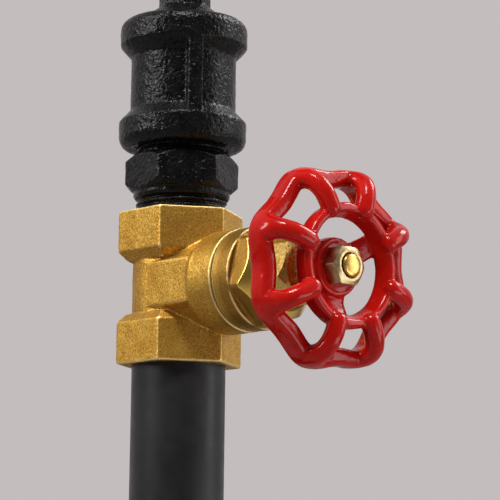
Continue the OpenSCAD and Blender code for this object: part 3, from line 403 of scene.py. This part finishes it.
def black_iron():
    p = Paint("black_iron", (0.004, 0.004, 0.0045), 0.0, 0.25)
    p.b.inputs["Specular IOR Level"].default_value = 0.17
    p.color(p.mix(p.span(p.noise(3.0), 0.35, 0.7), (0.002, 0.002, 0.0022), (0.006, 0.0058, 0.0062)))
    p.rough(p.span(p.noise(1.6, 5), 0.35, 0.65, (0.18, 0.3)))
    p.bump(p.noise(1.1, 2), 0.46, 0.9)
    p.bump(p.noise(0.62, 2), 0.1, 0.8)
    return p.m


def black_paint():
    p = Paint("black_paint", (0.012, 0.011, 0.012), 0.0, 0.4)
    p.b.inputs["Specular IOR Level"].default_value = 0.26
    p.color(p.mix(p.span(p.noise(14, 5), 0.35, 0.7), (0.009, 0.009, 0.01), (0.016, 0.016, 0.017)))
    p.rough(p.span(p.noise(5, 5), 0.3, 0.7, (0.34, 0.46)))
    p.bump(p.noise(0.5, 3), 0.05, 0.5)
    p.bump(p.noise(2.2, 2, 0.5, (1, 1, 0.12)), 0.05, 0.5)
    return p.m


def forged_brass():
    """Grainy brass, with a turned flange edge and a bright turned cone on the bonnet, and painted
    shade on the bonnet beyond the flange, darker still on its hex flats.
    """
    flange_at, flange_end, hex_at, hex_end = 26.8, 31.5, 32.4, 42.8
    cone_at, cone_r, cone_slope, polished = 39.6, 14.13, 0.808, 0.2
    p = Paint("forged_brass", (0.6, 0.38, 0.09), 1.0, 0.42)
    along = p.math("MULTIPLY", p.axis(1), -1 / MM)
    up = p.math("ADD", p.math("MULTIPLY", p.axis(2), 1 / MM), -VALVE_Z)
    across = p.math("MULTIPLY", p.axis(0), 1 / MM)
    square = p.math("ADD", p.math("MULTIPLY", up, up), p.math("MULTIPLY", across, across))
    radius = p.math("SQRT", square)

    grain = p.noise(0.42, 2, 0.6)
    patch = p.noise(7, 4)
    base = p.mix(p.span(patch, 0.35, 0.65), (0.49, 0.265, 0.04), (0.58, 0.345, 0.062))
    base = p.mix(p.span(grain, 0.49, 0.6, (0.0, 0.68)), base, (0.25, 0.115, 0.014))
    base = p.mix(p.span(grain, 0.44, 0.34, (0.0, 0.5)), base, (0.78, 0.56, 0.17))
    # Painted shade: the bonnet's hex flats, in the hollow behind the wheel, are darkened towards
    # dark brown
    painted_shade_on_flats = p.math("MULTIPLY", p.span(along, hex_at - 0.2, hex_at + 0.2),
                   p.span(along, hex_end + 0.2, hex_end - 0.2))
    base = p.mix(p.math("MULTIPLY", painted_shade_on_flats, 0.6), base, (0.22, 0.11, 0.025))
    # Painted shade: the bonnet, from the flange edge on behind the wheel, is darkened towards dark
    # brown
    base = p.mix(p.span(along, flange_at, flange_at + 0.3, (0.0, 0.45)), base, (0.26, 0.13, 0.022))
    base = p.mix(p.edges(0.03, 0.09), base, (0.80, 0.62, 0.26))

    strip = p.math("MULTIPLY", p.span(along, flange_at - 0.1, flange_at + 0.1),
                   p.span(along, flange_end + 0.1, flange_end - 0.2))
    fall = p.math("MULTIPLY", p.math("SUBTRACT", along, cone_at), cone_slope)
    on_cone = p.math("SUBTRACT", radius, p.math("SUBTRACT", cone_r, fall))
    cone = p.math("MULTIPLY", p.span(on_cone, -0.22, -0.1),
                  p.span(along, cone_at - 0.2, cone_at + 0.1))
    bright = p.math("MAXIMUM", p.math("MULTIPLY", strip, 0.12), cone)
    p.color(p.mix(bright, base, (0.84, 0.56, 0.12)))

    n = p.t.nodes.new("ShaderNodeMix")
    factor, value_a, value_b = n.inputs[0], n.inputs[2], n.inputs[3]
    p.link(bright, factor)
    p.link(p.span(grain, 0.35, 0.7, (0.46, 0.62)), value_a)
    value_b.default_value = polished
    p.rough(n.outputs[0])
    rougher = p.math("SUBTRACT", 1.0, p.math("MULTIPLY", bright, 0.9))
    p.bump(p.noise(0.8, 3), 0.09, p.math("MULTIPLY", rougher, 0.8))
    p.bump(grain, 0.06, p.math("MULTIPLY", rougher, 0.9))
    return p.m


def turned_brass(name, light, dark, rough):
    p = Paint(name, light, 1.0, rough)
    p.color(p.mix(p.span(p.noise(2.5, 4), 0.35, 0.7), dark, light))
    p.rough(p.span(p.noise(0.8, 3), 0.3, 0.7, (rough, rough + 0.14)))
    p.bump(p.noise(0.7, 2, 0.5, (0.2, 2.5, 0.2)), 0.03, 0.6)
    return p.m


def red_enamel():
    p = Paint("red_enamel", (0.4, 0.005, 0.003), 0.0, 0.12)
    p.b.inputs["Specular IOR Level"].default_value = 0.2
    shade = p.mix(p.span(p.noise(9, 4), 0.3, 0.7), (0.36, 0.004, 0.002), (0.46, 0.007, 0.004))
    p.color(p.mix(p.span(p.noise(0.9, 4), 0.60, 0.74, (0.0, 0.5)), shade, (0.24, 0.003, 0.002)))
    p.rough(p.span(p.noise(2.0, 4), 0.3, 0.7, (0.08, 0.18)))
    p.bump(p.noise(2.6, 3), 0.1, 0.6)
    p.bump(p.noise(0.6, 2), 0.03, 0.5)
    return p.m


def zinc():
    p = Paint("zinc_steel", (0.62, 0.63, 0.64), 1.0, 0.32)
    p.color(p.mix(p.span(p.noise(3, 5), 0.35, 0.7), (0.5, 0.5, 0.5), (0.68, 0.69, 0.7)))
    p.rough(p.span(p.noise(1.2, 4), 0.3, 0.7, (0.25, 0.42)))
    p.bump(p.noise(0.6, 3, 0.5, (0.2, 3, 1)), 0.03, 0.6)
    return p.m


def moulded(name, light, dark, rough, size=2.0, depth=0.05):
    p = Paint(name, light, 0.0, rough)
    p.color(p.mix(p.span(p.noise(size * 3, 4), 0.35, 0.7), dark, light))
    p.rough(p.span(p.noise(size, 4), 0.3, 0.7, (max(rough - 0.07, 0.05), rough + 0.07)))
    p.bump(p.noise(size * 0.3, 3), depth, 0.6)
    return p.m


def glass():
    p = Paint("clear_glass", (1.0, 0.97, 0.92), 0.0, 0.0)
    p.b.inputs["Transmission Weight"].default_value = 1.0
    p.b.inputs["IOR"].default_value = 1.46
    p.bump(p.noise(26, 2), 0.4, 0.25)
    return p.m


def cap_metal():
    p = Paint("cap_metal", (0.74, 0.74, 0.73), 1.0, 0.28)
    p.color(p.mix(p.span(p.noise(2.5, 4), 0.35, 0.7), (0.6, 0.6, 0.58), (0.8, 0.8, 0.79)))
    p.rough(p.span(p.noise(1, 3), 0.3, 0.7, (0.2, 0.36)))
    turn = p.t.nodes.new("ShaderNodeTexWave")
    turn.wave_type = "BANDS"
    turn.bands_direction = "Z"
    thread_pitch, waves_per_unit = 3.6 * MM, 20 / (2 * math.pi)
    turn.inputs["Scale"].default_value = 1 / waves_per_unit / thread_pitch
    p.t.links.new(p.where, turn.inputs["Vector"])
    p.bump(turn.outputs["Fac"], 0.6, 0.6)
    return p.m


def filament():
    p = Paint("filament", (0.55, 0.25, 0.08), 1.0, 0.35)
    p.color(p.mix(p.span(p.noise(1.5, 3), 0.35, 0.7), (0.42, 0.18, 0.05), (0.62, 0.3, 0.1)))
    p.bump(p.noise(0.3, 2, 0.5, (1, 1, 3)), 0.05, 0.7)
    return p.m


M = {
    "black_paint": black_paint(),
    "zinc_steel": zinc(),
    "black_iron": black_iron(),
    "forged_brass": forged_brass(),
    "turned_brass": turned_brass("turned_brass", (0.80, 0.56, 0.17), (0.62, 0.4, 0.1), 0.22),
    "nut_brass": turned_brass("nut_brass", (0.60, 0.48, 0.27), (0.42, 0.31, 0.15), 0.3),
    "red_enamel": red_enamel(),
    "gasket_fibre": moulded("gasket_fibre", (0.09, 0.085, 0.08), (0.05, 0.05, 0.05), 0.8, 1.0),
    "phenolic": moulded("phenolic", (0.02, 0.018, 0.016), (0.012, 0.011, 0.01), 0.3, 3.0, 0.03),
    "ivory_plastic": moulded("ivory_plastic", (0.8, 0.76, 0.66), (0.72, 0.67, 0.55), 0.4),
    "cap_metal": cap_metal(),
    "cap_glass": moulded("cap_glass", (0.02, 0.014, 0.012), (0.01, 0.008, 0.008), 0.15),
    "clear_glass": glass(),
    "filament": filament(),
    "brown_insulation": moulded("brown_insulation", (0.17, 0.07, 0.03), (0.12, 0.045, 0.02), 0.38),
    "blue_insulation": moulded("blue_insulation", (0.03, 0.1, 0.42), (0.02, 0.07, 0.32), 0.38),
    "green_insulation": moulded("green_insulation", (0.12, 0.4, 0.06), (0.08, 0.3, 0.04), 0.38),
}
slot_of = {s["node"]: s["material_slot"] for s in frame["record"]["subparts"]}
for name, obj in nodes.items():
    obj.data.materials.clear()
    obj.data.materials.append(M[slot_of[name]])


# Castings and forgings

def nipple_threads(co):
    """Threads cut into the bare ends of the nipple."""
    spigot_r, depth, inside, gap = 12, 0.85, 0.4, 0.05
    r = np.hypot(co[:, 0], co[:, 1])
    turns = co[:, 2] / PIPE_PITCH - np.arctan2(co[:, 1], co[:, 0]) / (2 * math.pi)
    z = co[:, 2]
    low = (z > VALVE_TOP - inside) & (z < NIPPLE_CONE_BOTTOM - gap)
    high = (z > NIPPLE_CONE_TOP + gap) & (z < COUPLING_BOTTOM + inside)
    on = (low | high) & (r > spigot_r)
    cut = np.where(on, depth * (1 - thread_height(turns)), 0)
    grow = (r - cut) / np.maximum(r, 1e-6)
    return np.column_stack([co[:, 0] * grow, co[:, 1] * grow, z])


def from_flat(angle):
    """Bearing from the middle of the nearest flat of a hexagon."""
    return (angle + math.pi / 6) % (math.pi / 3) - math.pi / 6


def nipple_sources():
    """Chamfered hexagon between two round collars, on a plain spigot for the threads."""
    af, corner_r, collar_r, bore_r, chamfer = 28.8, 16.4, 13.85, 9.5, 1.9
    turn, edge, columns = math.radians(-5), 0.05, 180
    hex_low = NIPPLE_CONE_BOTTOM + CONE_LOW - chamfer
    hex_high = NIPPLE_CONE_TOP - CONE_HIGH + chamfer
    slope = chamfer / (af / math.sqrt(3) - af / 2)
    points = []
    for k in range(columns):
        a = 2 * math.pi * k / columns
        r = min(af / 2 / math.cos(from_flat(a - turn)), corner_r)
        rise = (r - af / 2) * slope
        rows = [(bore_r, NIPPLE_CONE_BOTTOM), (collar_r - 0.5, NIPPLE_CONE_BOTTOM),
                (collar_r, NIPPLE_CONE_BOTTOM + 0.7), (collar_r, hex_low - 0.1),
                (af / 2, hex_low), (r, hex_low + rise + edge),
                (r, hex_high - rise - edge), (af / 2, hex_high),
                (collar_r, hex_high + 0.1), (collar_r, NIPPLE_CONE_TOP - 0.4),
                (collar_r - 0.4, NIPPLE_CONE_TOP), (bore_r, NIPPLE_CONE_TOP)]
        points += [(x * math.cos(a), x * math.sin(a), z) for x, z in rows]
    hexagon = mesh_of("hexagon", upright(points), wrapped(columns, len(rows)))
    low, high = VALVE_TOP - NIPPLE_IN, COUPLING_BOTTOM + NIPPLE_IN
    outline = [(bore_r, low), (MALE_R, low), (MALE_R, high), (bore_r, high)]
    points, faces = lathe(outline, 120)
    return [hexagon, mesh_of("spigot", upright(points), faces)]


def plug_sources():
    """The plug with a flare that runs up from the coupling to its neck."""
    bore_r = 6.2
    outline = [(bore_r, 0), (12.4, 0), (12.2, 0.4), (10.2, 2.0), (8.4, 3.4), (7.0, 4.2),
               (bore_r, 4.2)]
    points, faces = lathe([(r, COUPLING_TOP + z) for r, z in outline], 96)
    return [copy_of("reducing_plug"), mesh_of("flare", upright(points), faces)]


def taller_waist(co):
    """Valve body with cheeks nearly as high as its waist, and lower shoulders."""
    # Heights of the cheek's edge and the shoulder's foot and top, in the solids and as shown
    solid = [0, 4.5, 6.8, 10.1, 30]
    shown = [0, 6.3, 7.6, 10.1, 30]
    waist_r, cavity_r, cavity_back, fade_end, fade_len = 13.0, 10.5, -4, 21.0, 3.6
    up = co[:, 2] - VALVE_Z
    along = -co[:, 1]
    high = np.abs(up)
    beyond_cavity = (along < cavity_back) | (np.hypot(co[:, 0], up) > cavity_r)
    outside = (np.hypot(co[:, 0], along) > waist_r) & beyond_cavity
    fade = np.clip((fade_end - along) / fade_len, 0, 1)
    fade = np.where(outside, fade * fade * (3 - 2 * fade), 0)
    out = co.copy()
    out[:, 2] = VALVE_Z + np.sign(up) * (high + (np.interp(high, solid, shown) - high) * fade)
    return out


def casting(node, voxel, soften, lumps, shape=None, sources=None):
    mesh = fused(node + "_cast", sources or [copy_of(node)], voxel, soften, lumps, shape)
    slot = slot_of[node]
    add(node + "_cast", mesh, nodes[node]["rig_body"], M[slot], node)


# Voxel size, softening steps and lumps of each casting
casting("reducing_plug", 0.36, 4, [(0.14, 3.5), (0.06, 1.3)], sources=plug_sources())
casting("coupling", 0.36, 3, [(0.1, 5.0), (0.07, 1.3)])
casting("hex_nipple", 0.26, 3, [(0.12, 3.5), (0.06, 1.3)], nipple_threads, nipple_sources())
casting("bell_reducer", 0.45, 4, [(0.2, 5.0), (0.07, 1.5)])
casting("valve_body", 0.34, 3, [(0.07, 4.0), (0.03, 1.2)], taller_waist)
casting("valve_bonnet", 0.3, 2, [(0.04, 3.0)])
casting("handwheel", 0.32, 6, [(0.12, 5.0), (0.04, 1.5)], sources=wheel_sources())


# Wheel nut, chamfered on both faces, and the domed end of the stem

def hex_nut(af, height, bore_r):
    """Points and faces of a nut with a corner at bearing 0, from its seat up."""
    columns = 120
    face_r, seat_r, corner_r, slope = af / 2 * 0.9, af / 2 * 1.06, af / 2 * 1.13, 0.52
    points = []
    for k in range(columns):
        a = 2 * math.pi * k / columns
        off = math.pi / 6 - abs(from_flat(a))
        r = min(af / 2 / math.cos(off), corner_r)
        rows = [(bore_r, 0), (min(seat_r, r) - 0.1, 0), (min(seat_r, r), 0.1),
                (r, 0.1 + max(r - seat_r, 0) * slope),
                (r, height - 0.12 - (r - face_r) * slope), (face_r, height - 0.12),
                (face_r - 0.25, height), (bore_r + 0.75, height), (bore_r, height - 0.9)]
        points += [(x * math.cos(a), x * math.sin(a), z) for x, z in rows]
    return points, wrapped(columns, len(rows))


NUT_SEAT, STEM_END, NUT_CREASE = WHEEL_AT + 2.5, WHEEL_AT + 7.8, math.radians(24)
nut_points, nut_faces = hex_nut(af=10.0, height=5.0, bore_r=2.85)
nut = mesh_of("wheel_nut_turned", on_stem(nut_points, NUT_SEAT), nut_faces)
add("wheel_nut_turned", nut, "wheel", M["nut_brass"], "wheel_nut")
nut.set_sharp_from_angle(angle=NUT_CREASE)
dome = [(0.05, -0.7), (3.0, -0.7), (3.0, 0.05), (2.85, 0.25), (2.3, 0.42), (1.3, 0.52),
        (0.6, 0.545), (0.12, 0.55), (0.05, 0.55)]
dome_points, dome_faces = lathe(dome, 48)
dome_mesh = mesh_of("stem_dome", on_stem(dome_points, STEM_END), dome_faces)
add("stem_dome", dome_mesh, "wheel", M["turned_brass"])


# Threaded hanging rod

def threaded_tube(name, bore_r, crest_r, depth, pitch, low, high):
    """Closed tube with a thread outside that runs out at both ends."""
    sides, per_turn, run_out = 40, 7, 0.25
    rows = int((high - low) / pitch * per_turn)
    angle = np.arange(sides) * 2 * math.pi / sides
    points = []
    for k in range(rows + 1):
        z = low + (high - low) * k / rows
        end = min(1, min(z - low, high - z) / run_out)
        r = crest_r - depth * (1 - thread_height(z / pitch - angle / (2 * math.pi))) * end
        r = r - (1 - end) * depth
        points += [(a * math.cos(t), a * math.sin(t), z) for a, t in zip(r, angle)]
    inner = len(points)
    for z in (low, high):
        points += [(bore_r * math.cos(t), bore_r * math.sin(t), z) for t in angle]
    top = rows * sides
    faces = []
    for s in range(sides):
        n = (s + 1) % sides
        for k in range(rows):
            here, above = k * sides, (k + 1) * sides
            faces.append((here + s, here + n, above + n, above + s))
        faces.append((inner + s, inner + n, n, s))
        faces.append((top + s, top + n, inner + sides + n, inner + sides + s))
        faces.append((inner + sides + s, inner + sides + n, inner + n, inner + s))
    return mesh_of(name, upright(points), faces)


rod_low, rod_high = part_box("hang_rod")
rod = threaded_tube("rod_thread", bore_r=3.5, crest_r=5.0, depth=0.5, pitch=1.5,
                    low=rod_low.z / MM, high=rod_high.z / MM)
add("rod_thread", rod, "pendant", M["black_paint"], "hang_rod")


# Camera at the photograph's angle

azimuth, elevation, roll = math.radians(-42.7), math.radians(-9.2), math.radians(0.7)
DISTANCE, ASIDE, ABOVE = 0.634, 0.01996, 0.01194
back = Vector((math.sin(azimuth) * math.cos(elevation),
               -math.cos(azimuth) * math.cos(elevation), math.sin(elevation)))
right = Vector((math.cos(azimuth), math.sin(azimuth), 0))
up = back.cross(right)
target = Vector((0, 0, VALVE_Z * MM)) + right * ASIDE + Vector((0, 0, ABOVE))
right_rolled = right * math.cos(roll) + up * math.sin(roll)
up_rolled = up * math.cos(roll) - right * math.sin(roll)
camera_data = bpy.data.cameras.new("camera")
camera_data.lens = 158.7
camera_data.sensor_width = 36
camera_data.clip_start = 0.01
camera = bpy.data.objects.new("camera", camera_data)
scene.collection.objects.link(camera)
place = target + back * DISTANCE
camera.matrix_world = Matrix((
    (right_rolled.x, up_rolled.x, back.x, place.x),
    (right_rolled.y, up_rolled.y, back.y, place.y),
    (right_rolled.z, up_rolled.z, back.z, place.z),
    (0, 0, 0, 1)))
scene.camera = camera


# Studio: pale floor, pale surroundings and soft lights

PALE = (0.546, 0.509, 0.509)
FLOOR_HALF, FLOOR_Z = 4, -0.62
corners = [(-1, -1), (1, -1), (1, 1), (-1, 1)]
floor_mesh = mesh_of("floor", [(x * FLOOR_HALF, y * FLOOR_HALF, FLOOR_Z) for x, y in corners],
                     [(0, 1, 2, 3)])
floor_paint = Paint("floor", PALE, 0.0, 0.8)
floor_paint.color(floor_paint.mix(floor_paint.noise(180, 2),
                                  (0.32, 0.295, 0.295), (0.34, 0.315, 0.315)))


def floor_node(kind):
    return floor_paint.t.nodes.new(kind)


# Looked at directly, the floor is as pale as the surroundings, and clear from below
floor_pale = floor_node("ShaderNodeEmission")
floor_pale.inputs["Color"].default_value = (*PALE, 1)
floor_pale.inputs["Strength"].default_value = 1.0
floor_seen = floor_node("ShaderNodeMixShader")
floor_paint.link(floor_node("ShaderNodeLightPath").outputs["Is Camera Ray"], floor_seen.inputs[0])
floor_paint.link(floor_paint.b.outputs[0], floor_seen.inputs[1])
floor_paint.link(floor_pale.outputs[0], floor_seen.inputs[2])
floor_sides = floor_node("ShaderNodeMixShader")
floor_paint.link(floor_node("ShaderNodeNewGeometry").outputs["Backfacing"], floor_sides.inputs[0])
floor_paint.link(floor_seen.outputs[0], floor_sides.inputs[1])
floor_paint.link(floor_node("ShaderNodeBsdfTransparent").outputs[0], floor_sides.inputs[2])
floor_out = floor_paint.t.nodes["Material Output"]
floor_paint.link(floor_sides.outputs[0], floor_out.inputs["Surface"])
floor_mesh.materials.append(floor_paint.m)
floor = bpy.data.objects.new("floor", floor_mesh)
scene.collection.objects.link(floor)

world = bpy.data.worlds.new("studio")
scene.world = world
world.use_nodes = True
tree = world.node_tree
tree.nodes.clear()
shown = tree.nodes.new("ShaderNodeBackground")
shown.inputs["Color"].default_value = (*PALE, 1)
shown.inputs["Strength"].default_value = 1.0
gloss = tree.nodes.new("ShaderNodeBackground")
gloss.inputs["Color"].default_value = (*PALE, 1)
fill = tree.nodes.new("ShaderNodeBackground")
fill.inputs["Color"].default_value = (1, 0.98, 0.97, 1)
fill.inputs["Strength"].default_value = 0.33
path = tree.nodes.new("ShaderNodeLightPath")

# The studio is dimmer on the photographer's side, which polished faces show
direction = tree.nodes.new("ShaderNodeTexCoord")
facing = tree.nodes.new("ShaderNodeVectorMath")
facing.operation = "DOT_PRODUCT"
facing.inputs[1].default_value = back
tree.links.new(direction.outputs["Generated"], facing.inputs[0])
dim = tree.nodes.new("ShaderNodeMapRange")
dim.interpolation_type = "SMOOTHSTEP"
dim.inputs["From Min"].default_value = -0.1
dim.inputs["From Max"].default_value = 0.85
dim.inputs["To Min"].default_value = 1.0
dim.inputs["To Max"].default_value = 0.25
tree.links.new(facing.outputs["Value"], dim.inputs["Value"])
tree.links.new(dim.outputs["Result"], gloss.inputs["Strength"])


def either(a, b):
    """The larger of two shares."""
    n = tree.nodes.new("ShaderNodeMath")
    n.operation = "MAXIMUM"
    tree.links.new(a, n.inputs[0])
    tree.links.new(b, n.inputs[1])
    return n.outputs[0]


def choose(share, first, second):
    n = tree.nodes.new("ShaderNodeMixShader")
    tree.links.new(share, n.inputs[0])
    tree.links.new(first, n.inputs[1])
    tree.links.new(second, n.inputs[2])
    return n.outputs[0]


# What is seen directly or through glass, what shines in surfaces, and what lights them
seen = either(path.outputs["Is Camera Ray"], path.outputs["Is Transmission Ray"])
light = choose(path.outputs["Is Glossy Ray"], fill.outputs[0], gloss.outputs[0])
light = choose(seen, light, shown.outputs[0])
out = tree.nodes.new("ShaderNodeOutputWorld")
tree.links.new(light, out.inputs["Surface"])


def softbox(name, sideways, towards, height, width, tall, watts):
    """Area light aimed at the target, placed from the camera's point of view."""
    data = bpy.data.lights.new(name, "AREA")
    data.shape = "RECTANGLE"
    data.size, data.size_y = width, tall
    data.energy = watts
    obj = bpy.data.objects.new(name, data)
    scene.collection.objects.link(obj)
    flat = Vector((back.x, back.y, 0)).normalized()
    obj.location = target + right * sideways + flat * towards + Vector((0, 0, height))
    obj.rotation_mode = "QUATERNION"
    obj.rotation_quaternion = (target - obj.location).to_track_quat("-Z", "Y")


# Metres to the right, towards the camera and up, width and height, watts
softbox("left_box", -0.9, 0.35, 0.5, 0.3, 0.5, 7.5)
softbox("right_box", 0.75, -0.35, 0.75, 0.4, 0.4, 6.5)
softbox("right_strip", 1.0, 0.0, 0.25, 0.3, 0.8, 2.4)
softbox("top_box", -0.05, 0.55, 0.95, 0.3, 0.3, 10)
softbox("low_box", 0.65, 0.3, -0.3, 0.5, 0.35, 2.1)

scene.view_settings.view_transform = "Standard"
